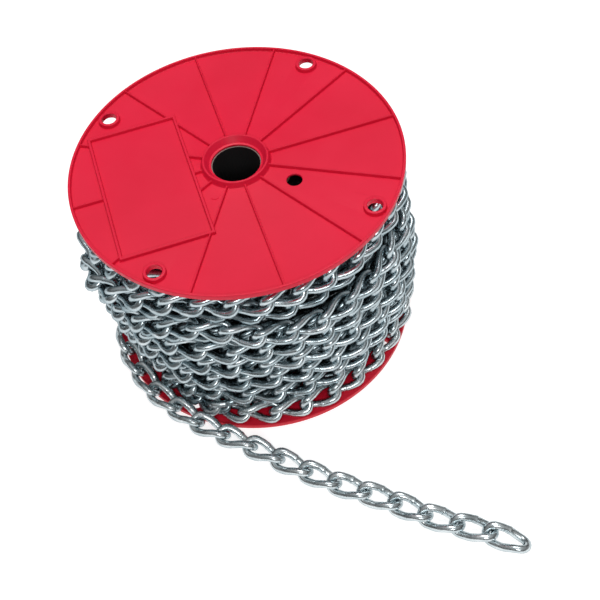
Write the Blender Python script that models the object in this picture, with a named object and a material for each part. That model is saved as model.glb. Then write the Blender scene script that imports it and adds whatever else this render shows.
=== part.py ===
"""Reel of twist-link steel chain, standing on its end with the loose end of the chain on the floor.

Metres, +Z up. The reel's axis is vertical. The floor is z = 0. The whole object is centred on the origin in
plan, so the reel's axis stands a little behind the origin, because the loose end of the chain lies in front.
Angles are counted from +X, counter-clockwise seen from above.
"""
import math

import bmesh
import bpy
from mathutils import Matrix, Vector

MM = 0.001

# Reel
FLANGE_RADIUS = 0.13335
REEL_HEIGHT = 0.1905
FLANGE_DEPTH = 0.005
PLATE_THICKNESS = 0.002
RIM_WIDTH = 0.002
EDGE_CHAMFER = 0.0004
RIB_WIDTH = 0.0016
RIB_TOP = 0.0045
RIB_COUNT = 12
RIB_TURN = math.radians(7.3)
COLLAR_RADIUS = 0.028
COLLAR_TOP_RADIUS = 0.0262
COLLAR_INNER_RADIUS = 0.0248
COLLAR_PROUD = 0.002
RECESS_RADIUS = 0.0215
BORE_RADIUS = 0.0198
PEG_CIRCLE = 0.1207
PEG_HOLE_RADIUS = 0.006
PEG_COLLAR_RADIUS = 0.0089
PEG_TURN = math.radians(52.3)
DRIVE_CIRCLE = 0.0514
DRIVE_HOLE_RADIUS = 0.0062
DRIVE_TURN = math.radians(-36.0)
LABEL_NEAR = 0.0346
LABEL_FAR = 0.106
LABEL_LOW = -0.064
LABEL_HIGH = 0.068
LABEL_RIB_WIDTH = 0.0027
LABEL_RIB_TOP = 0.0042
TUBE_RADIUS = 0.0192
TUBE_WALL = 0.0022
BARREL_RADIUS = 0.04445
BARREL_WALL = 0.003
RIM_SEGMENTS = 72
TUBE_SEGMENTS = 48
HOLE_SEGMENTS = 20

# Chain, of quarter-inch wire
WIRE = 0.0063
PITCH = 0.0260
LINK_WIDTH = 0.0207
LINK_PLAY = 0.0008
LINK_TWIST = math.radians(38.0)
WIRE_SIDES = 6
ARC_STEPS = 6
STRAIGHT_STEPS = 2

# Winding
GAP = 0.0003
HEADROOM = 0.004
OUTER_LAYER_RADIUS = 0.107
LAYER_SKIN = 0.002
WINDING_TOP = 0.1815
TOE_TOP = 0.0235
TOE_RADIUS = 0.114
ROW_GROOVE = 0.009
WIRE_SPREAD = 0.0065
LINKS_PER_TURN = 28
LINK_STEPS = 4
ROW_STEPS = LINKS_PER_TURN * LINK_STEPS
STEP_DEGREES = 360.0 / ROW_STEPS
# Rows of the outer layer from the top down: at each of these angles in degrees, the radius and height of the
# middle of the chain, in millimetres
ROW_ANGLES = (-230, -190, -166, -143, -118, -100, -80, -62, -40, -15, 25, 70)
ROWS = [
    ((118, 166), (123, 155), (127, 150), (121, 162), (112, 172), (110, 173), (110, 173), (111, 173),
     (113, 173), (116, 173), (118, 171), (118, 167)),
    ((124, 146), (132, 134), (137, 130), (129, 144), (119, 156), (118, 158), (118, 158), (118, 158),
     (120, 156), (126, 157), (124, 152), (122, 148)),
    ((126, 122), (130, 108), (132, 100), (127, 110), (118, 125), (118, 118), (117, 111), (119, 113),
     (122, 117), (130, 128), (128, 126), (126, 122)),
    ((124, 96), (127, 82), (128, 75), (123, 84), (118, 92), (116, 92), (116, 94), (118, 93),
     (122, 96), (132, 104), (130, 102), (126, 98)),
    ((121, 72), (124, 62), (125, 57), (121, 63), (118, 72), (118, 75), (118, 76), (119, 74),
     (123, 76), (134, 84), (131, 82), (126, 76)),
    ((119, 50), (120, 41), (120, 36), (119, 42), (118, 51), (117, 54), (117, 53), (118, 48),
     (123, 53), (134, 62), (131, 60), (125, 54)),
    ((112, 30), (109, 18), (111, 15), (119, 16), (117, 32), (116, 30), (116, 29), (117, 27),
     (121, 31), (132, 39), (130, 38), (124, 34)),
]
# A joint between links lies at this angle in each row
ROW_JOINTS = (-100, -89, -94.3, -92.8, -93.7, -91, -103.9)
# Reach of the surface past the middle of a row, in millimetres, below, at and above its middle height: at a
# joint, and a quarter, a half and three quarters of the way to the next one
LINK_RELIEF = ((5, 4, 3), (0, -6, 5), (3, -9, 3), (8, -6, -3))

# Route of the last full turn on the bottom flange: angle in degrees, radius, height of its middle
LOWEST_TURN = [
    (-126, 0.1232, 0.0126),
    (-110, 0.1240, 0.0123),
    (-90, 0.1250, 0.0123),
    (-60, 0.1235, 0.0123),
    (-40, 0.1245, 0.0123),
    (-26, 0.1280, 0.0130),
    (-14, 0.1315, 0.0150),
    (5, 0.1310, 0.0160),
    (30, 0.1270, 0.0135),
    (60, 0.1245, 0.0123),
    (90, 0.1245, 0.0123),
    (120, 0.1245, 0.0123),
    (150, 0.1245, 0.0123),
    (166, 0.1250, 0.0135),
]
TURN_NOTCH = 0.0035
TURN_HALF_WIDTH = 0.0085
TURN_HALF_HEIGHT = 0.0069
TURN_SIDES = 8
ROUTE_SAMPLES = 24
WALK_HALVINGS = 30

# Route of the loose end, from the winding over the bottom rim and along the floor
TAIL_ROUTE = [
    (-0.1253, 0.0209, 0.0122),
    (-0.1273, -0.0050, 0.0138),
    (-0.1270, -0.0309, 0.0136),
    (-0.1192, -0.0567, 0.0131),
    (-0.1072, -0.0822, 0.0125),
    (-0.0894, -0.1037, 0.0124),
    (-0.0737, -0.1209, 0.0120),
    (-0.0540, -0.1365, 0.0108),
    (-0.0318, -0.1528, 0.0095),
    (-0.0116, -0.1690, 0.0084),
    (0.0092, -0.1852, 0.0076),
    (0.0304, -0.2007, 0.0072),
    (0.0529, -0.2145, 0.0075),
    (0.0751, -0.2288, 0.0069),
    (0.0947, -0.2438, 0.0078),
    (0.1166, -0.2568, 0.0083),
    (0.1389, -0.2682, 0.0078),
    (0.1598, -0.2830, 0.0074),
]
# Roll in degrees of each of its links about its length
TAIL_ROLLS = (-14, -15, -11, -7, -5, -12, -16, -24, -17, -8, -4, 3, 5, 2, 8, 12, 8)

RED = (0.62, 0.012, 0.03, 1.0)
DARK_RED = (0.40, 0.010, 0.02, 1.0)
BLACK = (0.010, 0.009, 0.010, 1.0)
BROWN = (0.25, 0.16, 0.09, 1.0)
ZINC = (0.62, 0.65, 0.66, 1.0)


def clear_scene():
    for thing in list(bpy.data.objects):
        bpy.data.objects.remove(thing, do_unlink=True)


def material(name, colour, roughness, metallic=0.0):
    made = bpy.data.materials.new(name)
    made.use_nodes = True
    shader = made.node_tree.nodes["Principled BSDF"]
    shader.inputs["Base Color"].default_value = colour
    shader.inputs["Roughness"].default_value = roughness
    shader.inputs["Metallic"].default_value = metallic
    return made


def add_object(name, mesh, parent, skin=None):
    thing = bpy.data.objects.new(name, mesh)
    bpy.context.scene.collection.objects.link(thing)
    thing.parent = parent
    if skin is not None:
        mesh.materials.append(skin)
    return thing


def smooth(mesh, sharp_degrees=35.0):
    mesh.shade_smooth()
    mesh.set_sharp_from_angle(angle=math.radians(sharp_degrees))


def mesh_from(build, name):
    """A mesh made by a function that fills a bmesh."""
    shape = bmesh.new()
    build(shape)
    bmesh.ops.recalc_face_normals(shape, faces=shape.faces)
    mesh = bpy.data.meshes.new(name)
    shape.to_mesh(mesh)
    shape.free()
    return mesh


def stitch(shape, rings, close_rings=True):
    """Quads between neighbouring rings of vertices; the last ring joins the first if asked."""
    pairs = list(zip(rings, rings[1:]))
    if close_rings:
        pairs.append((rings[-1], rings[0]))
    for ring, following in pairs:
        count = len(ring)
        for step in range(count):
            after = (step + 1) % count
            shape.faces.new((ring[step], ring[after], following[after], following[step]))


def lathe(shape, profile, segments):
    """Turn a closed profile of (radius, height) points about the Z axis."""
    rings = []
    for step in range(segments):
        angle = 2 * math.pi * step / segments
        ring = [shape.verts.new((r * math.cos(angle), r * math.sin(angle), z)) for r, z in profile]
        rings.append(ring)
    stitch(shape, rings)


def prism(shape, outline, low, high):
    """A straight prism on an outline of (x, y) points."""
    base = [shape.verts.new((x, y, low)) for x, y in outline]
    top = [shape.verts.new((x, y, high)) for x, y in outline]
    shape.faces.new(base)
    shape.faces.new(top)
    stitch(shape, [base, top], close_rings=False)


def circle_points(x, y, radius, segments):
    turns = [2 * math.pi * step / segments for step in range(segments)]
    return [(x + radius * math.cos(turn), y + radius * math.sin(turn)) for turn in turns]


def polar(radius, angle):
    return radius * math.cos(angle), radius * math.sin(angle)


def flange_profile(collar_top):
    """Half section of a flange, its ribbed face up and its smooth face at height 0."""
    rim_inner = FLANGE_RADIUS - RIM_WIDTH
    return [
        (BORE_RADIUS, 0.0),
        (FLANGE_RADIUS - EDGE_CHAMFER, 0.0),
        (FLANGE_RADIUS, EDGE_CHAMFER),
        (FLANGE_RADIUS, FLANGE_DEPTH - EDGE_CHAMFER),
        (FLANGE_RADIUS - EDGE_CHAMFER, FLANGE_DEPTH),
        (rim_inner, FLANGE_DEPTH),
        (rim_inner, PLATE_THICKNESS),
        (COLLAR_RADIUS, PLATE_THICKNESS),
        (COLLAR_TOP_RADIUS, collar_top),
        (COLLAR_INNER_RADIUS, collar_top),
        (RECESS_RADIUS, PLATE_THICKNESS),
        (BORE_RADIUS, PLATE_THICKNESS - EDGE_CHAMFER),
    ]


def label_crossing(direction):
    """Distances from the axis at which a line enters and leaves the label frame, or None."""
    half = LABEL_RIB_WIDTH / 2
    limits = ((-LABEL_FAR - half, -LABEL_NEAR + half), (LABEL_LOW - half, LABEL_HIGH + half))
    enter, leave = 0.0, FLANGE_RADIUS
    for part, (low, high) in zip(direction, limits):
        if abs(part) < 1e-9:
            if low > 0 or high < 0:
                return None
            continue
        first, second = sorted((low / part, high / part))
        enter, leave = max(enter, first), min(leave, second)
    return (enter, leave) if leave > enter else None


def rib_spans(direction):
    """Stretches of one radial rib, from the hub collar to the rim, outside the label frame."""
    start = (COLLAR_TOP_RADIUS + COLLAR_INNER_RADIUS) / 2
    end = FLANGE_RADIUS - RIM_WIDTH / 2
    crossing = label_crossing(direction)
    if crossing is None:
        return [(start, end)]
    overlap = LABEL_RIB_WIDTH / 2
    spans = [(start, crossing[0] + overlap)]
    if crossing[1] - overlap < end:
        spans.append((crossing[1] - overlap, end))
    return spans


def build_ribs(shape):
    for index in range(RIB_COUNT):
        angle = 2 * math.pi * index / RIB_COUNT
        along = Vector((math.cos(angle), math.sin(angle)))
        across = Vector((-along.y, along.x)) * RIB_WIDTH / 2
        for start, end in rib_spans(along):
            corners = [along * start - across, along * end - across, along * end + across,
                       along * start + across]
            prism(shape, [tuple(corner) for corner in corners], PLATE_THICKNESS / 2, RIB_TOP)


def build_label_frame(shape):
    half = LABEL_RIB_WIDTH / 2
    loops = []
    for grow in (half, -half):
        left, right = -LABEL_FAR - grow, -LABEL_NEAR + grow
        low, high = LABEL_LOW - grow, LABEL_HIGH + grow
        corners = [(left, low), (right, low), (right, high), (left, high)]
        for height in (PLATE_THICKNESS / 2, LABEL_RIB_TOP):
            loops.append([shape.verts.new((x, y, height)) for x, y in corners])
    outer_low, outer_high, inner_low, inner_high = loops
    stitch(shape, [outer_low, outer_high, inner_high, inner_low])


def peg_places():
    return [polar(PEG_CIRCLE, PEG_TURN - RIB_TURN + quarter * math.pi / 2) for quarter in range(4)]


def build_peg_collars(shape):
    for x, y in peg_places():
        outline = circle_points(x, y, PEG_COLLAR_RADIUS, HOLE_SEGMENTS)
        prism(shape, outline, PLATE_THICKNESS / 2, FLANGE_DEPTH)


def build_holes(shape):
    holes = [(x, y, PEG_HOLE_RADIUS) for x, y in peg_places()]
    holes.append(polar(DRIVE_CIRCLE, DRIVE_TURN - RIB_TURN) + (DRIVE_HOLE_RADIUS,))
    for x, y, radius in holes:
        prism(shape, circle_points(x, y, radius, HOLE_SEGMENTS), -FLANGE_DEPTH, 2 * FLANGE_DEPTH)


def apply_shape(target, operation, build, name):
    """Join a hidden guide shape to the target, or cut it out."""
    guide = add_object(name, mesh_from(build, name), target)
    guide.hide_render = True
    guide.display_type = "WIRE"
    step = target.modifiers.new(name, "BOOLEAN")
    step.operation = operation
    step.solver = "EXACT"
    step.object = guide


def add_flange(name, parent, skin, collar_top):
    profile = flange_profile(collar_top)
    mesh = mesh_from(lambda shape: lathe(shape, profile, RIM_SEGMENTS), name)
    flange = add_object(name, mesh, parent, skin)
    smooth(mesh)
    apply_shape(flange, "UNION", build_label_frame, name + "_label_frame")
    apply_shape(flange, "UNION", build_ribs, name + "_ribs")
    apply_shape(flange, "UNION", build_peg_collars, name + "_peg_collars")
    apply_shape(flange, "DIFFERENCE", build_holes, name + "_holes")
    return flange


def add_ring(name, parent, skin, inner, outer, low, high):
    profile = [(inner, low), (outer, low), (outer, high), (inner, high)]
    mesh = mesh_from(lambda shape: lathe(shape, profile, TUBE_SEGMENTS), name)
    smooth(mesh)
    return add_object(name, mesh, parent, skin)


def add_reel(parent):
    red = material("red_plastic", RED, 0.45)
    dark_red = material("dark_red_plastic", DARK_RED, 0.5)
    black = material("black_tube", BLACK, 0.7)
    board = material("barrel_board", BROWN, 0.8)
    top = add_flange("top_flange", parent, red, FLANGE_DEPTH + COLLAR_PROUD)
    top.location.z = REEL_HEIGHT - FLANGE_DEPTH
    top.rotation_euler.z = RIB_TURN
    bottom = add_flange("bottom_flange", parent, dark_red, FLANGE_DEPTH - EDGE_CHAMFER)
    bottom.location.z = FLANGE_DEPTH
    bottom.rotation_euler = (math.pi, 0.0, RIB_TURN)
    low = FLANGE_DEPTH + GAP
    high = REEL_HEIGHT - FLANGE_DEPTH - GAP
    add_ring("arbor_tube", parent, black, TUBE_RADIUS, TUBE_RADIUS + TUBE_WALL, low, high)
    add_ring("core_barrel", parent, board, BARREL_RADIUS - BARREL_WALL, BARREL_RADIUS, low, high)


def spline(points, samples):
    """Points of a smooth curve through the given points, samples to each stretch."""
    padded = [points[0] * 2 - points[1]] + points + [points[-1] * 2 - points[-2]]
    curve = []
    for before, start, end, after in zip(padded, padded[1:], padded[2:], padded[3:]):
        for step in range(samples):
            t = step / samples
            curve.append(0.5 * (2 * start + (end - before) * t
                                + (2 * before - 5 * start + 4 * end - after) * t * t
                                + (3 * start - before - 3 * end + after) * t ** 3))
    curve.append(points[-1].copy())
    return curve


def walk(curve, stride):
    """Points along a curve, each one straight stride from the one before it."""
    places = [curve[0]]
    for start, end in zip(curve, curve[1:]):
        while (end - places[-1]).length >= stride:
            low, high = 0.0, 1.0
            for _ in range(WALK_HALVINGS):
                middle = (low + high) / 2
                if (start.lerp(end, middle) - places[-1]).length < stride:
                    low = middle
                else:
                    high = middle
            places.append(start.lerp(end, high))
    return places


def row_course(row):
    """Radius and height of a row's middle at each step round the reel."""
    bends = [Vector((angle, radius * MM, height * MM)) for angle, (radius, height) in zip(ROW_ANGLES, row)]
    lap = Vector((360.0, 0.0, 0.0))
    curve = spline([bends[-1] - lap] + bends + [bends[0] + lap, bends[1] + lap], ROUTE_SAMPLES)
    course = []
    for step in range(ROW_STEPS):
        angle = ROW_ANGLES[0] + step * STEP_DEGREES
        after = next(index for index, point in enumerate(curve) if point.x > angle)
        start, end = curve[after - 1], curve[after]
        place = start.lerp(end, (angle - start.x) / (end.x - start.x))
        course.append((place.y, place.z))
    return course


def row_levels(radius, height, step, joint_degrees):
    """Three radii and heights across one row: below, at and above its middle."""
    joint_step = round((joint_degrees - ROW_ANGLES[0]) / STEP_DEGREES)
    relief = LINK_RELIEF[(step - joint_step) % LINK_STEPS]
    rises = (-WIRE_SPREAD, 0.0, WIRE_SPREAD)
    return [(radius + reach * MM, height + rise) for reach, rise in zip(relief, rises)]


def within_layer(radius, height):
    """The radius, kept outside the inner layers and, near the bottom flange, inside the lowest turn."""
    if height < TOE_TOP:
        radius = min(radius, TOE_RADIUS)
    return max(radius, OUTER_LAYER_RADIUS + LAYER_SKIN)


def layer_levels(courses, step):
    """Radii and heights up the outer layer at one step round the reel, with a groove below each row."""
    levels = [(TOE_RADIUS, FLANGE_DEPTH + GAP)]
    last_radius, last_height = levels[0]
    for course, joint_degrees in reversed(list(zip(courses, ROW_JOINTS))):
        radius, height = course[step]
        groove_height = (last_height + height - WIRE_SPREAD) / 2
        levels.append(((last_radius + radius) / 2 - ROW_GROOVE, groove_height))
        levels += row_levels(radius, height, step, joint_degrees)
        last_radius, last_height = radius, height + WIRE_SPREAD
    levels.append((last_radius - ROW_GROOVE, (last_height + WINDING_TOP) / 2))
    levels.append((last_radius - ROW_GROOVE, WINDING_TOP))
    return [(within_layer(radius, height), height) for radius, height in levels]


def build_outer_winding(shape):
    """The outer layer of chain: a ridge for each row, with the wires, eyes and joints of its links."""
    courses = [row_course(row) for row in ROWS]
    rings = []
    for step in range(ROW_STEPS):
        levels = layer_levels(courses, step)
        levels = [(OUTER_LAYER_RADIUS, levels[0][1])] + levels + [(OUTER_LAYER_RADIUS, levels[-1][1])]
        angle = math.radians(ROW_ANGLES[0] + step * STEP_DEGREES)
        rings.append([shape.verts.new(polar(radius, angle) + (height,)) for radius, height in levels])
    stitch(shape, rings)


def lowest_turn_route():
    bends = []
    for degrees, radius, height in LOWEST_TURN:
        bends.append(Vector(polar(radius, math.radians(degrees)) + (height,)))
    return walk(spline(bends, ROUTE_SAMPLES), PITCH / 2)


def build_lowest_turn(shape):
    """A band of chain along the bottom flange, narrower and lower at each joint between links."""
    route = lowest_turn_route()
    rings = []
    for index, centre in enumerate(route):
        outward = Vector((centre.x, centre.y, 0.0)).normalized()
        notch = TURN_NOTCH if index % 2 == 0 else 0.0
        ring = []
        for side in range(TURN_SIDES):
            turn = 2 * math.pi * (side + 0.5) / TURN_SIDES
            reach = (TURN_HALF_WIDTH - notch) * math.cos(turn)
            rise = (TURN_HALF_HEIGHT - notch / 2) * math.sin(turn)
            ring.append(shape.verts.new(centre + outward * reach + Vector((0.0, 0.0, rise))))
        rings.append(ring)
    stitch(shape, rings, close_rings=False)
    shape.faces.new(rings[0])
    shape.faces.new(rings[-1])


def link_outline():
    """Middle line of an untwisted link as (along, across) points."""
    half_across = (LINK_WIDTH - WIRE) / 2
    half_straight = (PITCH + LINK_PLAY + WIRE) / 2 - half_across
    points = []
    for end in (1, -1):
        for step in range(ARC_STEPS + 1):
            turn = math.pi * (step / ARC_STEPS - 0.5)
            along = end * (half_straight + half_across * math.cos(turn))
            points.append((along, end * half_across * math.sin(turn)))
        for step in range(1, STRAIGHT_STEPS):
            along = end * half_straight * (1 - 2 * step / STRAIGHT_STEPS)
            points.append((along, end * half_across))
    return points


def twist_at(along):
    """Turn of the link's width about its length, which brings the two ends into crossed planes."""
    share = max(-1.0, min(1.0, 2 * along / (PITCH + LINK_PLAY)))
    return -LINK_TWIST * math.sin(share * math.pi / 2)


def build_link(shape):
    """A twist link along X: a round wire bent into an oval whose ends lie in crossed planes."""
    middle = []
    for along, across in link_outline():
        turn = twist_at(along)
        middle.append(Vector((along, across * math.cos(turn), across * math.sin(turn))))
    rings = []
    count = len(middle)
    for index, centre in enumerate(middle):
        tangent = (middle[(index + 1) % count] - middle[index - 1]).normalized()
        turn = twist_at(centre.x)
        face = Vector((0.0, -math.sin(turn), math.cos(turn)))
        face = (face - tangent * face.dot(tangent)).normalized()
        side = tangent.cross(face)
        ring = []
        for step in range(WIRE_SIDES):
            angle = 2 * math.pi * step / WIRE_SIDES
            offset = face * math.cos(angle) + side * math.sin(angle)
            ring.append(shape.verts.new(centre + offset * WIRE / 2))
        rings.append(ring)
    stitch(shape, rings)


def link_pose(start, end, roll):
    """Place of a link between two joints; without roll its sides are level with the floor at mid length."""
    along = (end - start).normalized()
    across = Vector((0.0, 0.0, 1.0)).cross(along).normalized()
    upward = along.cross(across)
    turn = Matrix((along, across, upward)).transposed().to_4x4()
    return Matrix.Translation((start + end) / 2) @ turn @ Matrix.Rotation(roll, 4, "X")


def add_chain(parent):
    zinc = material("zinc_plated_steel", ZINC, 0.3, 1.0)
    low = FLANGE_DEPTH + GAP
    high = REEL_HEIGHT - FLANGE_DEPTH - GAP - HEADROOM
    add_ring("inner_windings", parent, zinc, BARREL_RADIUS + GAP, OUTER_LAYER_RADIUS - GAP, low, high)
    outer = mesh_from(build_outer_winding, "outer_winding")
    add_object("outer_winding", outer, parent, zinc)
    turn = mesh_from(build_lowest_turn, "lowest_turn")
    add_object("lowest_turn", turn, parent, zinc)
    link = mesh_from(build_link, "twist_link")
    link.shade_smooth()
    link.materials.append(zinc)
    joints = walk(spline([Vector(point) for point in TAIL_ROUTE], ROUTE_SAMPLES), PITCH)
    for index, (start, end, roll) in enumerate(zip(joints, joints[1:], TAIL_ROLLS)):
        piece = add_object(f"tail_link_{index + 1:02d}", link, parent)
        piece.matrix_local = link_pose(start, end, math.radians(roll))


def centre_in_plan(parent):
    """Move the parent so that the whole object is centred over the origin."""
    bpy.context.view_layer.update()
    corners = []
    for thing in bpy.data.objects:
        if thing.type == "MESH" and not thing.hide_render:
            corners += [thing.matrix_world @ vertex.co for vertex in thing.data.vertices]
    for axis in (0, 1):
        values = [corner[axis] for corner in corners]
        parent.location[axis] = -(min(values) + max(values)) / 2


def main():
    clear_scene()
    axis = bpy.data.objects.new("reel_axis", None)
    bpy.context.scene.collection.objects.link(axis)
    add_reel(axis)
    add_chain(axis)
    centre_in_plan(axis)


main()
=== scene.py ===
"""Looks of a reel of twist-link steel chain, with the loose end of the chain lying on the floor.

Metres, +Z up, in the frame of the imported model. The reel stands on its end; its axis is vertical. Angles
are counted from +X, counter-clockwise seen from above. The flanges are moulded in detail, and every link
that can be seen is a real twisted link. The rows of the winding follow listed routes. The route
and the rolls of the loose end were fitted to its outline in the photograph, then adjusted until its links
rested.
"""
import bisect
import math
import random

import bmesh
import bpy
from mathutils import Matrix, Vector


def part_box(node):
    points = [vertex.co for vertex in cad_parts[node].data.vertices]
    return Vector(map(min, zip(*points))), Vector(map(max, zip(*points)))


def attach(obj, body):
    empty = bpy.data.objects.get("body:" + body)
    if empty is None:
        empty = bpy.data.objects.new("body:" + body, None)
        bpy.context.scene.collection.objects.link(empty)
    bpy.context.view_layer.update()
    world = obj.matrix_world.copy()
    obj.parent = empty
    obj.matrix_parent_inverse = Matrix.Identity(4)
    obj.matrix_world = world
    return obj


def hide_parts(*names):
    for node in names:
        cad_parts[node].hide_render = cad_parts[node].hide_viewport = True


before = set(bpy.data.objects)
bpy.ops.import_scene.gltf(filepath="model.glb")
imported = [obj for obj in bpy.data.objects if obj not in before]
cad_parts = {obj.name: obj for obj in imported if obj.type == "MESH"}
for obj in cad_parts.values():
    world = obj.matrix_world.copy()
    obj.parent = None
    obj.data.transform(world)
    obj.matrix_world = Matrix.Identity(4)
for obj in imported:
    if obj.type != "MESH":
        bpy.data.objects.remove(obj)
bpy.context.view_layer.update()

BODY = "root"
MM = 0.001

# Reel, the same sizes as in the CAD model
FLANGE_DEPTH = 0.005
PLATE_THICKNESS = 0.002
RIM_WIDTH = 0.002
COLLAR_PROUD = 0.002
COLLAR_RADIUS = 0.028
COLLAR_TOP_RADIUS = 0.0262
COLLAR_INNER_RADIUS = 0.0248
RECESS_RADIUS = 0.0215
BORE_RADIUS = 0.0198
RIB_TOP = 0.0045
RIB_COUNT = 12
RIB_TURN = math.radians(7.3)
PEG_CIRCLE = 0.1207
PEG_HOLE_RADIUS = 0.006
PEG_COLLAR_RADIUS = 0.0089
PEG_TURN = math.radians(52.3)
DRIVE_CIRCLE = 0.0514
DRIVE_HOLE_RADIUS = 0.0062
DRIVE_TURN = math.radians(-36.0)
LABEL_NEAR = 0.0346
LABEL_FAR = 0.106
LABEL_LOW = -0.064
LABEL_HIGH = 0.068
GATE_CIRCLE = 0.0372
GATE_TURN = math.radians(-124.0)

# Moulding detail that only the looks have
RIB_FOOT = 0.0011
RIB_SHOULDER = 0.0007
RIB_CROWN = 0.0004
LABEL_RIB_GROW = 0.0005
EDGE_ROUND = 0.0007
FINE_ROUND = 0.0001
LATHE_SEGMENTS = 180
HOLE_SEGMENTS = 48
ROUND_STEPS = 4
SHARP_EDGE = math.radians(32.0)
LEAST_SLOPE = 1e-9
# Gate mark: a crescent of rings round an arc, in degrees, thickest in the middle
GATE_RINGS = 13
GATE_SIDES = 8
GATE_START = 200.0
GATE_STEP = 10.0
GATE_REACH = 0.0036
GATE_THICKNESS = 0.0007

# Chain, the same sizes as in the CAD model
WIRE = 0.0063
LINK_WIDTH = 0.0207
LINK_INSIDE = 0.0268
LINK_TWIST = math.radians(38.0)
LOOSE_PITCH = 0.0260

# Links as drawn: how many of the last turn lean over to lie flat, and the swelling at each weld
LYING_LINKS = 5
WELD_REACH = 0.0009
WELD_SWELL = 0.10
# Fineness of a link: steps round each end, places along a straight side as shares of its half length, and
# sides of the wire. Where the weld can be seen, the places are closer together beside it.
TAIL_LINK = (12, (0.75, 0.5, 0.25, 0.12, 0.06, 0.0, -0.06, -0.12, -0.25, -0.5, -0.75), 16)
ROW_LINK = (8, (0.6, 0.25, 0.1, 0.0, -0.1, -0.25, -0.6), 12)
INNER_LINK = (5, (0.33, -0.33), 8)
ROUTE_SAMPLES = 24
WALK_HALVINGS = 30

# Route of the winding in the reel's own frame: the radius and height of the chain's middle in millimetres,
# at each of these angles in degrees. Each turn runs counter-clockwise from the back past the left side.
TURN_ANGLES = (-230, -190, -166, -143, -118, -100, -80, -62, -40, -15, 25, 70)
TURNS = [
    ((118, 166), (123, 155), (127, 150), (121, 162), (112, 172), (110, 173), (110, 173), (111, 173),
     (113, 173), (116, 173), (118, 171), (118, 167)),
    ((124, 146), (132, 134), (137, 130), (129, 144), (119, 156), (118, 158), (118, 158), (118, 158),
     (120, 156), (126, 157), (124, 152), (122, 148)),
    ((126, 122), (130, 108), (132, 100), (127, 110), (118, 125), (118, 118), (117, 111), (119, 113),
     (122, 117), (130, 128), (128, 126), (126, 122)),
    ((124, 96), (127, 82), (128, 75), (123, 84), (118, 92), (116, 92), (116, 94), (118, 93),
     (122, 96), (132, 104), (130, 102), (126, 98)),
    ((121, 72), (124, 62), (125, 57), (121, 63), (118, 72), (118, 75), (118, 76), (119, 74),
     (123, 76), (134, 84), (131, 82), (126, 76)),
    ((119, 50), (120, 41), (120, 36), (119, 42), (118, 51), (117, 54), (117, 53), (118, 48),
     (123, 53), (134, 62), (131, 60), (125, 54)),
    ((112, 30), (109, 18), (111, 15), (119, 16), (117, 32), (116, 30), (116, 29), (117, 27),
     (121, 31), (132, 39), (130, 38), (124, 34)),
]
# A joint between links lies at this angle, in degrees, in each turn
TURN_JOINTS = (-100, -89, -94.3, -92.8, -93.7, -91, -103.9)
# Last turn, on the bottom flange: angle in degrees, radius and height in millimetres
LOWEST_TURN = [(-190, 98, 14), (-160, 98, 14), (-140, 108, 13.5), (-126, 121, 12.8), (-110, 124, 12.3),
               (-90, 125, 12.3), (-60, 123.5, 12.3), (-40, 124.5, 12.3), (-26, 128, 13), (-14, 131.5, 15),
               (5, 131, 16), (30, 127, 13.5), (60, 124.5, 12.3), (90, 124.5, 12.3), (120, 124.5, 12.3),
               (150, 124.5, 12.3)]
LOWEST_JOINT = -81.3
FIRST_LOWEST_ANGLE = -150
# Loose end, from the winding over the bottom rim and along the floor: x, y and height in millimetres
TAIL_ROUTE = [(-125.3, 20.9, 12.2), (-127.3, -5.0, 13.8), (-127.0, -30.9, 13.6), (-119.2, -56.7, 13.1),
              (-107.2, -82.2, 12.5), (-89.4, -103.7, 12.4), (-73.7, -120.9, 12.0), (-54.0, -136.5, 10.8),
              (-31.8, -152.8, 9.5), (-11.6, -169.0, 8.4), (9.2, -185.2, 7.6), (30.4, -200.7, 7.2),
              (52.9, -214.5, 7.5), (75.1, -228.8, 6.9), (94.7, -243.8, 7.8), (116.6, -256.8, 8.3),
              (138.9, -268.2, 7.8), (159.8, -283.0, 7.4)]
# Roll in degrees of each of its links about its length
TAIL_ROLLS = (-14, -15, -11, -7, -5, -12, -16, -24, -17, -8, -4, 3, 5, 2, 8, 12, 8)
# Layer nested behind the outer one, in millimetres: how far in it lies, how far below the outer one its last
# full turn lies, and its foot on the bottom flange, with a radius for each of the angles above
SECOND_INSET = 8
SECOND_DROP = 9
FOOT_HEIGHT = 14
FOOT_RADII = (107, 107, 108, 116, 120, 113, 108, 107, 107, 107, 107, 107)
# Layer below that, and under it a drum with bumps like links, both dark with painted shade
INNER_RADIUS = 0.098
INNER_LOW = 0.0145
INNER_HIGH = 0.176
INNER_TURNS = 10
INNER_BENDS = 24
CORE_RADIUS = 0.087
CORE_RELIEF = 0.003
CORE_SEGMENTS = 96
CORE_ROWS = 64
CORE_TURN_ROWS = 8
CORE_BUMPS = 24
CORE_SHIFT = 3.0

# Unevenness of the winding
SEED = 11
JOINT_WANDER = 0.0009
ROW_ROLL = math.radians(-15.0)
ROLL_WANDER = math.radians(14.0)

# Zinc plate colours, dull to bright: winding; loose end, painted light; second layer and below, painted
# shade
BRIGHT_TONES = ((0.36, 0.44, 0.47, 1.0), (0.50, 0.57, 0.60, 1.0), (0.66, 0.71, 0.73, 1.0))
# Lighter: painted light for the loose end lying out on the white floor
LIT_LOOSE_TONES = ((0.48, 0.55, 0.57, 1.0), (0.62, 0.68, 0.70, 1.0), (0.78, 0.82, 0.83, 1.0))
# Darker: painted shade of the outer layer
SHADED_SECOND_TONES = ((0.24, 0.31, 0.34, 1.0), (0.36, 0.43, 0.46, 1.0), (0.50, 0.56, 0.58, 1.0))
# Darker still: painted shade deep in the winding
SHADED_TONES = ((0.05, 0.06, 0.065, 1.0), (0.11, 0.125, 0.13, 1.0), (0.20, 0.22, 0.23, 1.0))
EDGE_TINT = (0.40, 0.45, 0.47, 1.0)
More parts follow.
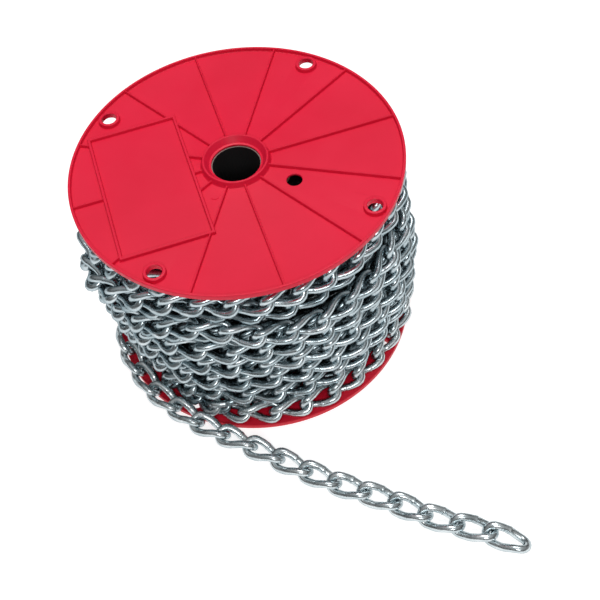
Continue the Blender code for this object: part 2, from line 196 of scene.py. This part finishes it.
# Colours of the plastic, deep and plain, on the top and the bottom flange
RED_TONES = ((0.64, 0.008, 0.036, 1.0), (0.68, 0.010, 0.042, 1.0))
# Bottom flange: a darker copy of the red, painted shade where the winding shades it
SHADED_RED_TONES = ((0.61, 0.007, 0.026, 1.0), (0.66, 0.008, 0.030, 1.0))
# Colours of the tube and its cut end, and of the drum's board
TUBE_TONES = ((0.004, 0.0035, 0.004, 1.0), (0.30, 0.22, 0.20, 1.0))
BOARD_TONES = ((0.20, 0.12, 0.07, 1.0), (0.32, 0.21, 0.12, 1.0))
# The cut end's colour begins and is full at these depths below the top of the tube
CUT_END_DEPTHS = (0.0004, 0.0001)

# Floor and light
FLOOR_HALF = 4.0
FLOOR_GREY = 0.45
FLOOR_GLOW = 0.8
SKY_STRENGTH = 0.6
# Heights in the sky, from 0 at the horizon to 1 overhead, and the grey there
SKY_STOPS = ((0.0, 0.08), (0.30, 0.14), (0.60, 0.55), (0.90, 0.90))
LIGHT_TARGET = (0.0, 0.0, 0.1)
# Name, place, size and power in watts of each light
LIGHTS = (("overhead", (0.1, 0.35, 1.5), (1.0, 0.7), 13.0),
          ("front_fill", (-0.1, -1.2, 1.2), (0.7, 0.35), 7.0))

# Camera, from the flanges' ellipses in the photograph
CAMERA_BEHIND = 0.58171
CAMERA_HEIGHT = 0.77628
CAMERA_PITCH = 0.9313
CAMERA_YAW = 0.0579
CAMERA_ROLL = -0.1497
CAMERA_LENS = 62.5
SENSOR = 36.0

AXIS = (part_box("top_flange")[0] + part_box("top_flange")[1]) / 2
REEL_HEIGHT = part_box("top_flange")[1].z - COLLAR_PROUD
FLANGE_RADIUS = (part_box("top_flange")[1].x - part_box("top_flange")[0].x) / 2


def polar(radius, angle):
    return radius * math.cos(angle), radius * math.sin(angle)


def link_object(name, mesh, skin):
    thing = bpy.data.objects.new(name, mesh)
    bpy.context.scene.collection.objects.link(thing)
    mesh.materials.append(skin)
    return thing


def mesh_from(build, name):
    """A mesh made by a function that fills a bmesh."""
    shape = bmesh.new()
    build(shape)
    bmesh.ops.recalc_face_normals(shape, faces=shape.faces)
    mesh = bpy.data.meshes.new(name)
    shape.to_mesh(mesh)
    shape.free()
    return mesh


def stitch(shape, rings, close_rings=True):
    """Quads between neighbouring rings of vertices; the last ring joins the first if asked."""
    pairs = list(zip(rings, rings[1:]))
    if close_rings:
        pairs.append((rings[-1], rings[0]))
    for ring, following in pairs:
        count = len(ring)
        for step in range(count):
            after = (step + 1) % count
            shape.faces.new((ring[step], ring[after], following[after], following[step]))


def rounded(corners):
    """Closed outline from corners (x, y, cut), each rounded over its cut length."""
    outline = []
    count = len(corners)
    for index, (x, y, cut) in enumerate(corners):
        corner = Vector((x, y))
        before = Vector(corners[index - 1][:2])
        after = Vector(corners[(index + 1) % count][:2])
        start = corner + (before - corner).normalized() * cut
        end = corner + (after - corner).normalized() * cut
        for step in range(ROUND_STEPS + 1):
            t = step / ROUND_STEPS
            point = start * (1 - t) ** 2 + corner * (2 * t * (1 - t)) + end * t ** 2
            outline.append((point.x, point.y))
    return outline


def lathe(shape, outline, segments, centre=(0.0, 0.0)):
    """Turn a closed outline of (radius, height) points about a vertical axis."""
    rings = []
    for step in range(segments):
        angle = 2 * math.pi * step / segments
        ring = []
        for radius, height in outline:
            x, y = polar(radius, angle)
            ring.append(shape.verts.new((centre[0] + x, centre[1] + y, height)))
        rings.append(ring)
    stitch(shape, rings)


def flange_outline(collar_top):
    rim_inner = FLANGE_RADIUS - RIM_WIDTH
    edge = EDGE_ROUND
    return rounded([
        (BORE_RADIUS, 0.0, edge / 2),
        (FLANGE_RADIUS, 0.0, edge),
        (FLANGE_RADIUS, FLANGE_DEPTH, edge),
        (rim_inner, FLANGE_DEPTH, edge / 2),
        (rim_inner - edge / 2, PLATE_THICKNESS, edge),
        (COLLAR_RADIUS, PLATE_THICKNESS, edge),
        (COLLAR_TOP_RADIUS, collar_top, edge),
        (COLLAR_INNER_RADIUS, collar_top, edge / 2),
        (RECESS_RADIUS, PLATE_THICKNESS, edge / 2),
        (BORE_RADIUS, PLATE_THICKNESS - edge / 2, edge / 4),
    ])


def rib_outline(grow=0.0):
    """Points (across, height) up one drafted side of a rib, over its rounded crown and down again."""
    side = [(RIB_FOOT, PLATE_THICKNESS / 2), (RIB_SHOULDER, RIB_TOP - 2 * RIB_CROWN),
            (RIB_SHOULDER - RIB_CROWN / 2, RIB_TOP - RIB_CROWN / 2), (RIB_CROWN / 2, RIB_TOP)]
    grown = [(width + grow, height) for width, height in side]
    return grown + [(-width, height) for width, height in reversed(grown)]


def label_crossing(direction):
    """Distances from the axis at which a line enters and leaves the label frame, or None."""
    limits = ((-LABEL_FAR - RIB_FOOT, -LABEL_NEAR + RIB_FOOT), (LABEL_LOW - RIB_FOOT, LABEL_HIGH + RIB_FOOT))
    enter, leave = 0.0, FLANGE_RADIUS
    for part, (low, high) in zip(direction, limits):
        if abs(part) < LEAST_SLOPE:
            if low > 0 or high < 0:
                return None
            continue
        first, second = sorted((low / part, high / part))
        enter, leave = max(enter, first), min(leave, second)
    return (enter, leave) if leave > enter else None


def rib_spans(direction):
    """Stretches of one radial rib, from the hub collar to the rim, outside the label frame."""
    start = (COLLAR_TOP_RADIUS + COLLAR_INNER_RADIUS) / 2
    end = FLANGE_RADIUS - RIM_WIDTH / 2
    crossing = label_crossing(direction)
    if crossing is None:
        return [(start, end)]
    spans = [(start, crossing[0] + RIB_FOOT)]
    if crossing[1] - RIB_FOOT < end:
        spans.append((crossing[1] - RIB_FOOT, end))
    return spans


def build_ribs(shape):
    outline = rib_outline()
    for index in range(RIB_COUNT):
        angle = 2 * math.pi * index / RIB_COUNT
        along = Vector((math.cos(angle), math.sin(angle), 0.0))
        across = Vector((-along.y, along.x, 0.0))
        for start, end in rib_spans(along.xy):
            ends = []
            for reach in (start, end):
                ring = []
                for width, height in outline:
                    point = along * reach + across * width
                    ring.append(shape.verts.new((point.x, point.y, height)))
                ends.append(ring)
            stitch(shape, ends, close_rings=False)
            shape.faces.new(ends[0])
            shape.faces.new(ends[1])


def build_label_frame(shape):
    loops = []
    for grow, height in rib_outline(LABEL_RIB_GROW):
        left, right = -LABEL_FAR - grow, -LABEL_NEAR + grow
        low, high = LABEL_LOW - grow, LABEL_HIGH + grow
        corners = [(left, low), (right, low), (right, high), (left, high)]
        loops.append([shape.verts.new((x, y, height)) for x, y in corners])
    stitch(shape, loops)


def peg_places():
    return [polar(PEG_CIRCLE, PEG_TURN - RIB_TURN + quarter * math.pi / 2) for quarter in range(4)]


def build_peg_collars(shape):
    outline = rounded([
        (PEG_HOLE_RADIUS / 2, PLATE_THICKNESS / 2, FINE_ROUND),
        (PEG_COLLAR_RADIUS + EDGE_ROUND / 2, PLATE_THICKNESS / 2, FINE_ROUND),
        (PEG_COLLAR_RADIUS - EDGE_ROUND / 2, FLANGE_DEPTH + EDGE_ROUND / 4, EDGE_ROUND),
        (PEG_HOLE_RADIUS / 2, FLANGE_DEPTH + EDGE_ROUND / 4, FINE_ROUND),
    ])
    for place in peg_places():
        lathe(shape, outline, HOLE_SEGMENTS, place)


def build_gate_mark(shape):
    """The small raised crescent beside the hub."""
    centre = Vector(polar(GATE_CIRCLE, GATE_TURN - RIB_TURN) + (PLATE_THICKNESS,))
    rings = []
    for step in range(GATE_RINGS):
        angle = math.radians(GATE_START + GATE_STEP * step)
        thickness = GATE_THICKNESS * math.sin(math.pi * (step + 1) / (GATE_RINGS + 1))
        outward = Vector((math.cos(angle), math.sin(angle), 0.0))
        ring = []
        for side in range(GATE_SIDES):
            turn = 2 * math.pi * side / GATE_SIDES
            offset = outward * math.cos(turn) + Vector((0.0, 0.0, math.sin(turn)))
            ring.append(shape.verts.new(centre + outward * GATE_REACH + offset * thickness))
        rings.append(ring)
    stitch(shape, rings, close_rings=False)
    shape.faces.new(rings[0])
    shape.faces.new(rings[-1])


def build_holes(shape):
    """Cutters for the peg holes and the drive hole, each a little wider at its mouths."""
    holes = [place + (PEG_HOLE_RADIUS, FLANGE_DEPTH) for place in peg_places()]
    holes.append(polar(DRIVE_CIRCLE, DRIVE_TURN - RIB_TURN) + (DRIVE_HOLE_RADIUS, PLATE_THICKNESS))
    flare = EDGE_ROUND / 2
    for x, y, radius, top in holes:
        levels = [(radius + 4 * flare, -4 * flare), (radius, flare), (radius, top - flare),
                  (radius + 4 * flare, top + 3 * flare)]
        rings = []
        for reach, height in levels:
            points = [polar(reach, 2 * math.pi * step / HOLE_SEGMENTS) for step in range(HOLE_SEGMENTS)]
            rings.append([shape.verts.new((x + px, y + py, height)) for px, py in points])
        stitch(shape, rings, close_rings=False)
        shape.faces.new(rings[0])
        shape.faces.new(rings[-1])


def shape_with(target, steps):
    """Join shapes to the target or cut them out, and keep the result as its mesh."""
    guides = []
    for operation, build in steps:
        guide = bpy.data.objects.new("guide", mesh_from(build, "guide"))
        bpy.context.scene.collection.objects.link(guide)
        guides.append(guide)
        step = target.modifiers.new("shape", "BOOLEAN")
        step.operation = operation
        step.solver = "EXACT"
        step.object = guide
    bpy.context.view_layer.update()
    result = bpy.data.meshes.new_from_object(target.evaluated_get(bpy.context.evaluated_depsgraph_get()))
    target.modifiers.clear()
    target.data = result
    for guide in guides:
        bpy.data.objects.remove(guide, do_unlink=True)


def add_flange(name, node, collar_top, skin, place):
    outline = flange_outline(collar_top)
    flange = link_object(name, mesh_from(lambda shape: lathe(shape, outline, LATHE_SEGMENTS), name), skin)
    shape_with(flange, [("UNION", build_label_frame), ("UNION", build_ribs), ("UNION", build_peg_collars),
                        ("UNION", build_gate_mark), ("DIFFERENCE", build_holes)])
    flange.data.transform(place)
    flange.data.shade_smooth()
    flange.data.set_sharp_from_angle(angle=SHARP_EDGE)
    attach(flange, BODY)
    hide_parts(node)


def add_flanges(red, dark_red):
    turn = Matrix.Rotation(RIB_TURN, 4, "Z")
    top = Matrix.Translation((AXIS.x, AXIS.y, REEL_HEIGHT - FLANGE_DEPTH)) @ turn
    add_flange("top_flange_moulded", "top_flange", FLANGE_DEPTH + COLLAR_PROUD, red, top)
    over = Matrix.Rotation(math.pi, 4, "X")
    bottom = Matrix.Translation((AXIS.x, AXIS.y, FLANGE_DEPTH)) @ turn @ over
    add_flange("bottom_flange_moulded", "bottom_flange", FLANGE_DEPTH - EDGE_ROUND, dark_red, bottom)


class Graph:
    """A material's nodes, added by type and joined by socket name."""

    def __init__(self, name):
        self.material = bpy.data.materials.new(name)
        self.material.use_nodes = True
        self.nodes = self.material.node_tree.nodes
        self.links = self.material.node_tree.links
        self.shader = self.nodes["Principled BSDF"]

    def add(self, kind, **values):
        node = self.nodes.new(kind)
        for key, value in values.items():
            if key in node.inputs:
                node.inputs[key].default_value = value
            else:
                setattr(node, key, value)
        return node

    def join(self, source, output, target, socket):
        self.links.new(source.outputs[output], target.inputs[socket])


def noise(graph, scale):
    place = graph.add("ShaderNodeTexCoord")
    made = graph.add("ShaderNodeTexNoise", Scale=scale, Detail=4.0)
    graph.join(place, "Object", made, "Vector")
    return made


def set_stops(node, positions, colours):
    """Give a colour ramp these colours at these positions."""
    elements = node.color_ramp.elements
    while len(elements) < len(positions):
        elements.new(0.5)
    for element, position, colour in zip(elements, positions, colours):
        element.position = position
        element.color = colour


def ramp(graph, source, positions, colours):
    """A colour ramp over a node's first output."""
    made = graph.add("ShaderNodeValToRGB")
    set_stops(made, positions, colours)
    graph.join(source, 0, made, "Fac")
    return made


def patches(graph, socket, scale, positions, colours):
    """Uneven patches of these colours, as the value of one of the shader's sockets."""
    made = ramp(graph, noise(graph, scale), positions, colours)
    graph.join(made, "Color", graph.shader, socket)


def grain(graph, scale, strength, depth):
    """Fine bumps all over the surface."""
    bump = graph.add("ShaderNodeBump", Strength=strength, Distance=depth)
    graph.join(noise(graph, scale), 0, bump, "Height")
    graph.join(bump, "Normal", graph.shader, "Normal")


def grey(level):
    return (level, level, level, 1.0)


def red_plastic(name, tones):
    """Moulded plastic; tones are its deep and its plain colour."""
    graph = Graph(name)
    graph.shader.inputs["Specular IOR Level"].default_value = 0.2
    patches(graph, "Base Color", scale=14.0, positions=(0.35, 0.65), colours=tones)
    patches(graph, "Roughness", scale=60.0, positions=(0.3, 0.7), colours=(grey(0.36), grey(0.5)))
    grain(graph, scale=350.0, strength=0.12, depth=0.0004)
    return graph.material


def zinc_steel(name, tones):
    """Bright zinc plate; tones are three colours from the dullest to the brightest."""
    graph = Graph(name)
    graph.shader.inputs["Metallic"].default_value = 1.0
    graph.shader.inputs["Specular Tint"].default_value = EDGE_TINT
    patches(graph, "Base Color", scale=90.0, positions=(0.3, 0.55, 0.8), colours=tones)
    patches(graph, "Roughness", scale=220.0, positions=(0.3, 0.7), colours=(grey(0.20), grey(0.34)))
    grain(graph, scale=500.0, strength=0.25, depth=0.0003)
    return graph.material


def tube_paper():
    """Black inside, with a paler cut end at the very top."""
    graph = Graph("black_tube_paper")
    place = graph.add("ShaderNodeTexCoord")
    split = graph.add("ShaderNodeSeparateXYZ")
    graph.join(place, "Object", split, "Vector")
    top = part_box("arbor_tube")[1].z
    edge = graph.add("ShaderNodeMapRange", clamp=True)
    edge.inputs["From Min"].default_value = top - CUT_END_DEPTHS[0]
    edge.inputs["From Max"].default_value = top - CUT_END_DEPTHS[1]
    graph.join(split, "Z", edge, "Value")
    colour = ramp(graph, edge, (0.0, 1.0), TUBE_TONES)
    graph.join(colour, "Color", graph.shader, "Base Color")
    graph.shader.inputs["Roughness"].default_value = 0.7
    return graph.material


def board():
    graph = Graph("barrel_board")
    patches(graph, "Base Color", scale=160.0, positions=(0.3, 0.7), colours=BOARD_TONES)
    graph.shader.inputs["Roughness"].default_value = 0.85
    return graph.material


def white_floor():
    graph = Graph("white_floor")
    graph.shader.inputs["Base Color"].default_value = grey(FLOOR_GREY)
    graph.shader.inputs["Roughness"].default_value = 0.9
    graph.shader.inputs["Emission Color"].default_value = grey(1.0)
    graph.shader.inputs["Emission Strength"].default_value = FLOOR_GLOW
    return graph.material


def twist_at(along):
    """Turn of the link's width about its length, which brings the two ends into crossed planes."""
    share = max(-1.0, min(1.0, along / (LINK_INSIDE / 2)))
    return -LINK_TWIST * math.sin(share * math.pi / 2)


class LinkShape:
    """Vertices and faces of one twisted link along X, with a welded joint in one side."""

    def __init__(self, arc_steps, side_stations, wire_sides):
        middle = self.middle_line(arc_steps, side_stations)
        self.points = []
        count = len(middle)
        for index, centre in enumerate(middle):
            tangent = (middle[(index + 1) % count] - middle[index - 1]).normalized()
            turn = twist_at(centre.x)
            face = Vector((0.0, -math.sin(turn), math.cos(turn)))
            face = (face - tangent * face.dot(tangent)).normalized()
            side = tangent.cross(face)
            radius = WIRE / 2 * self.weld_swell(centre)
            for step in range(wire_sides):
                angle = 2 * math.pi * step / wire_sides
                self.points.append(centre + (face * math.cos(angle) + side * math.sin(angle)) * radius)
        self.faces = []
        for ring in range(count):
            following = (ring + 1) % count
            for step in range(wire_sides):
                after = (step + 1) % wire_sides
                self.faces.append((ring * wire_sides + step, ring * wire_sides + after,
                                   following * wire_sides + after, following * wire_sides + step))

    @staticmethod
    def middle_line(arc_steps, side_stations):
        half_across = (LINK_WIDTH - WIRE) / 2
        half_straight = (LINK_INSIDE + WIRE) / 2 - half_across
        flat = []
        for end in (1, -1):
            for step in range(arc_steps + 1):
                turn = math.pi * (step / arc_steps - 0.5)
                reach = half_straight + half_across * math.cos(turn)
                flat.append((end * reach, end * half_across * math.sin(turn)))
            flat += [(end * half_straight * share, end * half_across) for share in side_stations]
        middle = []
        for along, across in flat:
            turn = twist_at(along)
            middle.append(Vector((along, across * math.cos(turn), across * math.sin(turn))))
        return middle

    @staticmethod
    def weld_swell(centre):
        """Wire thickness near the weld, as a share of the plain wire."""
        if centre.y < 0.0:
            return 1.0
        distance = abs(centre.x) / WELD_REACH
        return 1.0 + WELD_SWELL * math.exp(-distance ** 2)


def link_pose(start, end, outward, roll):
    """Place of a link between two joints; outward is the side away from what it lies on."""
    along = (end - start).normalized()
    across = outward.cross(along).normalized()
    upward = along.cross(across)
    turn = Matrix((along, across, upward)).transposed().to_4x4()
    return Matrix.Translation((start + end) / 2) @ turn @ Matrix.Rotation(roll, 4, "X")


def add_links(name, nodes, shape, poses, skin):
    """One object holding a link at each pose."""
    points = []
    faces = []
    for pose in poses:
        base = len(points)
        points += [pose @ point for point in shape.points]
        faces += [tuple(corner + base for corner in face) for face in shape.faces]
    mesh = bpy.data.meshes.new(name)
    mesh.from_pydata(points, [], faces)
    mesh.shade_smooth()
    piece = link_object(name, mesh, skin)
    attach(piece, BODY)
    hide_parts(*nodes)


def spline(points):
    """Points of a smooth curve through the given points."""
    padded = [points[0] * 2 - points[1]] + points + [points[-1] * 2 - points[-2]]
    curve = []
    for before, start, end, after in zip(padded, padded[1:], padded[2:], padded[3:]):
        for step in range(ROUTE_SAMPLES):
            t = step / ROUTE_SAMPLES
            curve.append(0.5 * (2 * start + (end - before) * t
                                + (2 * before - 5 * start + 4 * end - after) * t * t
                                + (3 * start - before - 3 * end + after) * t ** 3))
    curve.append(points[-1].copy())
    return curve


def walk(curve, stride):
    """Points along a curve, each one straight stride from the one before it."""
    places = [curve[0]]
    for start, end in zip(curve, curve[1:]):
        while (end - places[-1]).length >= stride:
            low, high = 0.0, 1.0
            for _ in range(WALK_HALVINGS):
                middle = (low + high) / 2
                if (start.lerp(end, middle) - places[-1]).length < stride:
                    low = middle
                else:
                    high = middle
            places.append(start.lerp(end, high))
    return places


class Route:
    """A smooth curve of places, measured along its length and marked with its angle about the axis."""

    def __init__(self, places, angles):
        self.places = places
        self.angles = angles
        self.lengths = [0.0]
        for start, end in zip(places, places[1:]):
            self.lengths.append(self.lengths[-1] + (end - start).length)

    def at(self, length):
        index = bisect.bisect_left(self.lengths, length, 1, len(self.lengths) - 1)
        low, high = self.lengths[index - 1], self.lengths[index]
        share = (length - low) / (high - low)
        return self.places[index - 1].lerp(self.places[index], share)

    def length_at_angle(self, angle):
        index = bisect.bisect_left(self.angles, angle, 1, len(self.angles) - 1)
        low, high = self.angles[index - 1], self.angles[index]
        share = (angle - low) / (high - low)
        return self.lengths[index - 1] + share * (self.lengths[index] - self.lengths[index - 1])


def polar_route(bends):
    """Route through (angle in degrees, radius, height) bends in millimetres, smooth in those three."""
    curve = spline([Vector(bend) for bend in bends])
    places = []
    for angle, radius, height in curve:
        x, y = polar(radius * MM, math.radians(angle))
        places.append(Vector((x, y, height * MM)))
    return Route(places, [angle for angle, _, _ in curve])


def shared_joints(route, marks):
    """Joints along a route, one at each mark, with equal links between marks and no link stretched."""
    joints = []
    for start, end in zip(marks, marks[1:]):
        count = math.ceil((end - start) / LINK_INSIDE)
        joints += [start + (end - start) * step / count for step in range(count)]
    joints.append(marks[-1])
    while joints[0] > LINK_INSIDE:
        joints.insert(0, joints[0] - LINK_INSIDE)
    while joints[-1] + LINK_INSIDE < route.lengths[-1]:
        joints.append(joints[-1] + LINK_INSIDE)
    return [route.at(length) for length in joints]


def radial(place):
    return Vector((place.x, place.y, 0.0)).normalized()


def wander(joints, dice, amount):
    """The joints, each moved a little in or out and up or down."""
    moved = []
    for joint in joints:
        push = radial(joint) * dice.uniform(-amount, amount)
        push.z = dice.uniform(-amount, amount)
        moved.append(joint + push)
    return moved


def row_poses(joints, dice):
    """Poses of links laid flat against the winding; about half are turned over, so welds face both ways."""
    poses = []
    for start, end in zip(joints, joints[1:]):
        roll = ROW_ROLL + dice.uniform(-ROLL_WANDER, ROLL_WANDER) + dice.choice((0.0, math.pi))
        poses.append(link_pose(start, end, radial((start + end) / 2), roll))
    return poses


def placed(poses):
    """Poses moved from the reel's own frame to the model's."""
    shift = Matrix.Translation((AXIS.x, AXIS.y, 0.0))
    return [shift @ pose for pose in poses]


def winding_bends(turns):
    """Bends (angle, radius, height) of the outer winding."""
    bends = []
    for number, turn in enumerate(turns):
        for angle, (radius, height) in zip(TURN_ANGLES, turn):
            bends.append((angle + 360 * number, radius, height))
    return bends


def nested_bends(turns):
    """Bends of the layer inside the outer one, each of its turns halfway down to the next outer one."""
    bends = []
    for number, turn in enumerate(turns):
        lower = turns[number + 1] if number + 1 < len(turns) else None
        for index, (radius, height) in enumerate(turn):
            drop = (height - lower[index][1]) / 2 if lower else SECOND_DROP
            angle = TURN_ANGLES[index] + 360 * number
            bends.append((angle, radius - SECOND_INSET, max(height - drop, FOOT_HEIGHT)))
    return bends


def add_turns(name, shape, joints, skin, dice):
    """The links of a winding, shared out over one object for each turn."""
    poses = placed(row_poses(joints, dice))
    share = math.ceil(len(poses) / len(TURNS))
    for number in range(len(TURNS)):
        turn = poses[number * share:(number + 1) * share]
        add_links(f"{name}_turn_{number + 1}", ["outer_winding"], shape, turn, skin)


def add_winding(shape, skin, dice):
    route = polar_route(winding_bends(TURNS))
    marks = [route.length_at_angle(angle + 360 * number) for number, angle in enumerate(TURN_JOINTS)]
    joints = wander(shared_joints(route, marks), dice, JOINT_WANDER)
    add_turns("winding", shape, joints, skin, dice)


def add_second_layer(shape, skin, dice):
    bends = nested_bends(TURNS)
    foot = 360 * len(TURNS)
    bends += [(angle + foot, radius, FOOT_HEIGHT) for angle, radius in zip(TURN_ANGLES, FOOT_RADII)]
    route = polar_route(bends)
    joints = wander(shared_joints(route, [0.0, route.lengths[-1]]), dice, 2 * JOINT_WANDER)
    add_turns("second_layer", shape, joints, skin, dice)


def add_inner_layer(shape, skin, dice):
    steps = INNER_BENDS * INNER_TURNS
    bends = []
    for step in range(steps + 1):
        share = step / steps
        height = INNER_LOW + (INNER_HIGH - INNER_LOW) * share
        bends.append((360 * INNER_TURNS * share, INNER_RADIUS / MM, height / MM))
    route = polar_route(bends)
    joints = wander(shared_joints(route, [0.0, route.lengths[-1]]), dice, 2 * JOINT_WANDER)
    add_links("inner_chain", ["inner_windings"], shape, placed(row_poses(joints, dice)), skin)


def core_section(angle, low, high):
    """Points of the drum's section at an angle, up its bumpy outside, with its ends reaching inwards."""
    points = [polar(CORE_RADIUS / 2, angle) + (low,)]
    for row in range(CORE_ROWS + 1):
        height = low + (high - low) * row / CORE_ROWS
        shift = CORE_SHIFT * math.floor(row / CORE_TURN_ROWS)
        waves = math.sin(2 * math.pi * row / CORE_TURN_ROWS) + math.sin(CORE_BUMPS * angle + shift)
        points.append(polar(CORE_RADIUS + CORE_RELIEF * waves / 2, angle) + (height,))
    points.append(polar(CORE_RADIUS / 2, angle) + (high,))
    return points


def build_core(shape):
    low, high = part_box("inner_windings")[0].z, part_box("inner_windings")[1].z
    rings = []
    for step in range(CORE_SEGMENTS):
        section = core_section(2 * math.pi * step / CORE_SEGMENTS, low, high)
        rings.append([shape.verts.new(point) for point in section])
    stitch(shape, rings)


def add_core(skin):
    """The hidden windings below, as one bumpy drum, dark with painted shade."""
    mesh = mesh_from(build_core, "core_windings")
    mesh.transform(Matrix.Translation((AXIS.x, AXIS.y, 0.0)))
    mesh.shade_smooth()
    core = link_object("core_windings", mesh, skin)
    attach(core, BODY)
    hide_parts("inner_windings")


def lowest_joints(tail_start):
    """Joints of the last turn, which ends at the first joint of the loose end."""
    route = polar_route(LOWEST_TURN + [tail_start])
    marks = [route.length_at_angle(LOWEST_JOINT), route.lengths[-1]]
    joints = shared_joints(route, marks)
    first = route.at(route.length_at_angle(FIRST_LOWEST_ANGLE))
    start = next(index for index, joint in enumerate(joints) if joint.y < 0 and joint.x > first.x)
    return joints[start - 1:]


def lowest_poses(joints, dice):
    """The last turn stands against the winding and lies down where it becomes the loose end."""
    poses = []
    count = len(joints) - 1
    for index, (start, end) in enumerate(zip(joints, joints[1:])):
        lie = max(0.0, 1.0 - (count - 1 - index) / LYING_LINKS)
        outward = radial((start + end) / 2).lerp(Vector((0.0, 0.0, 1.0)), lie)
        roll = (ROW_ROLL + dice.uniform(-ROLL_WANDER, ROLL_WANDER)) * (1.0 - lie)
        poses.append(link_pose(start, end, outward, roll + dice.choice((0.0, math.pi))))
    return poses


def add_loose_end(row_shape, tail_shape, skin, dice):
    places = [Vector(point) * MM for point in TAIL_ROUTE]
    joints = walk(spline(places), LOOSE_PITCH)
    first = joints[0]
    angle = math.degrees(math.atan2(first.y, first.x))
    lowest = lowest_joints((angle, first.xy.length / MM, first.z / MM))
    add_links("lowest_turn_links", ["lowest_turn"], row_shape, placed(lowest_poses(lowest, dice)), skin)
    for index, (start, end, roll) in enumerate(zip(joints, joints[1:], TAIL_ROLLS)):
        pose = link_pose(start, end, Vector((0.0, 0.0, 1.0)), math.radians(roll))
        name = f"tail_link_{index + 1:02d}"
        add_links(name + "_wire", [name], tail_shape, placed([pose]), skin)


def add_floor(skin):
    def build(shape):
        corners = [(-1, -1), (1, -1), (1, 1), (-1, 1)]
        shape.faces.new([shape.verts.new((x * FLOOR_HALF, y * FLOOR_HALF, 0.0)) for x, y in corners])

    floor = link_object("floor", mesh_from(build, "floor"), skin)


def add_camera():
    """Camera at the photograph's place, looking down on the reel with a slight roll."""
    forward = Vector((math.sin(CAMERA_YAW) * math.cos(CAMERA_PITCH),
                      math.cos(CAMERA_YAW) * math.cos(CAMERA_PITCH), -math.sin(CAMERA_PITCH)))
    level = Vector((math.cos(CAMERA_YAW), -math.sin(CAMERA_YAW), 0.0))
    above = level.cross(forward)
    right = level * math.cos(CAMERA_ROLL) + above * math.sin(CAMERA_ROLL)
    up = above * math.cos(CAMERA_ROLL) - level * math.sin(CAMERA_ROLL)
    lens = bpy.data.cameras.new("camera")
    lens.lens = CAMERA_LENS
    lens.sensor_width = SENSOR
    camera = bpy.data.objects.new("camera", lens)
    turn = Matrix((right, up, -forward)).transposed().to_4x4()
    camera.matrix_world = Matrix.Translation((AXIS.x, AXIS.y - CAMERA_BEHIND, CAMERA_HEIGHT)) @ turn
    bpy.context.scene.collection.objects.link(camera)
    bpy.context.scene.camera = camera


def add_area_light(name, place, size, power):
    light = bpy.data.lights.new(name, "AREA")
    light.shape = "RECTANGLE"
    light.size, light.size_y = size
    light.energy = power
    thing = bpy.data.objects.new(name, light)
    thing.location = place
    thing.rotation_euler = (Vector(LIGHT_TARGET) - Vector(place)).to_track_quat("-Z", "Y").to_euler()
    bpy.context.scene.collection.objects.link(thing)


def add_world():
    """Soft studio surroundings: bright overhead, dark round the horizon so that metal shows contrast."""
    world = bpy.data.worlds.new("studio")
    world.use_nodes = True
    nodes = world.node_tree.nodes
    links = world.node_tree.links
    place = nodes.new("ShaderNodeTexCoord")
    split = nodes.new("ShaderNodeSeparateXYZ")
    links.new(place.outputs["Generated"], split.inputs["Vector"])
    sky = nodes.new("ShaderNodeValToRGB")
    set_stops(sky, [height for height, _ in SKY_STOPS], [grey(level) for _, level in SKY_STOPS])
    links.new(split.outputs["Z"], sky.inputs["Fac"])
    links.new(sky.outputs["Color"], nodes["Background"].inputs["Color"])
    nodes["Background"].inputs["Strength"].default_value = SKY_STRENGTH
    bpy.context.scene.world = world


def add_lights():
    add_world()
    for name, place, size, power in LIGHTS:
        add_area_light(name, place, size, power)
    bpy.context.scene.view_settings.view_transform = "Standard"


def dress_nodes(paper, barrel):
    for name, skin in (("arbor_tube", paper), ("core_barrel", barrel)):
        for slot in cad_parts[name].material_slots:
            slot.material = skin


def main():
    red = red_plastic("red_plastic", RED_TONES)
    dark_red = red_plastic("dark_red_plastic", SHADED_RED_TONES)
    zinc = zinc_steel("zinc_plated_steel", BRIGHT_TONES)
    # Lit and shaded copies of one zinc plate: painted light on the loose end, painted shade on the second
    # layer and below
    loose = zinc_steel("lit_loose_end_zinc_plate", LIT_LOOSE_TONES)
    second = zinc_steel("shaded_second_layer_zinc_plate", SHADED_SECOND_TONES)
    shaded = zinc_steel("shaded_zinc_plate", SHADED_TONES)
    dice = random.Random(SEED)
    add_flanges(red, dark_red)
    dress_nodes(tube_paper(), board())
    row_shape = LinkShape(*ROW_LINK)
    tail_shape = LinkShape(*TAIL_LINK)
    inner_shape = LinkShape(*INNER_LINK)
    add_winding(row_shape, zinc, dice)
    add_second_layer(inner_shape, second, dice)
    add_inner_layer(inner_shape, shaded, dice)
    add_core(shaded)
    add_loose_end(row_shape, tail_shape, loose, dice)
    add_floor(white_floor())
    add_camera()
    add_lights()


main()
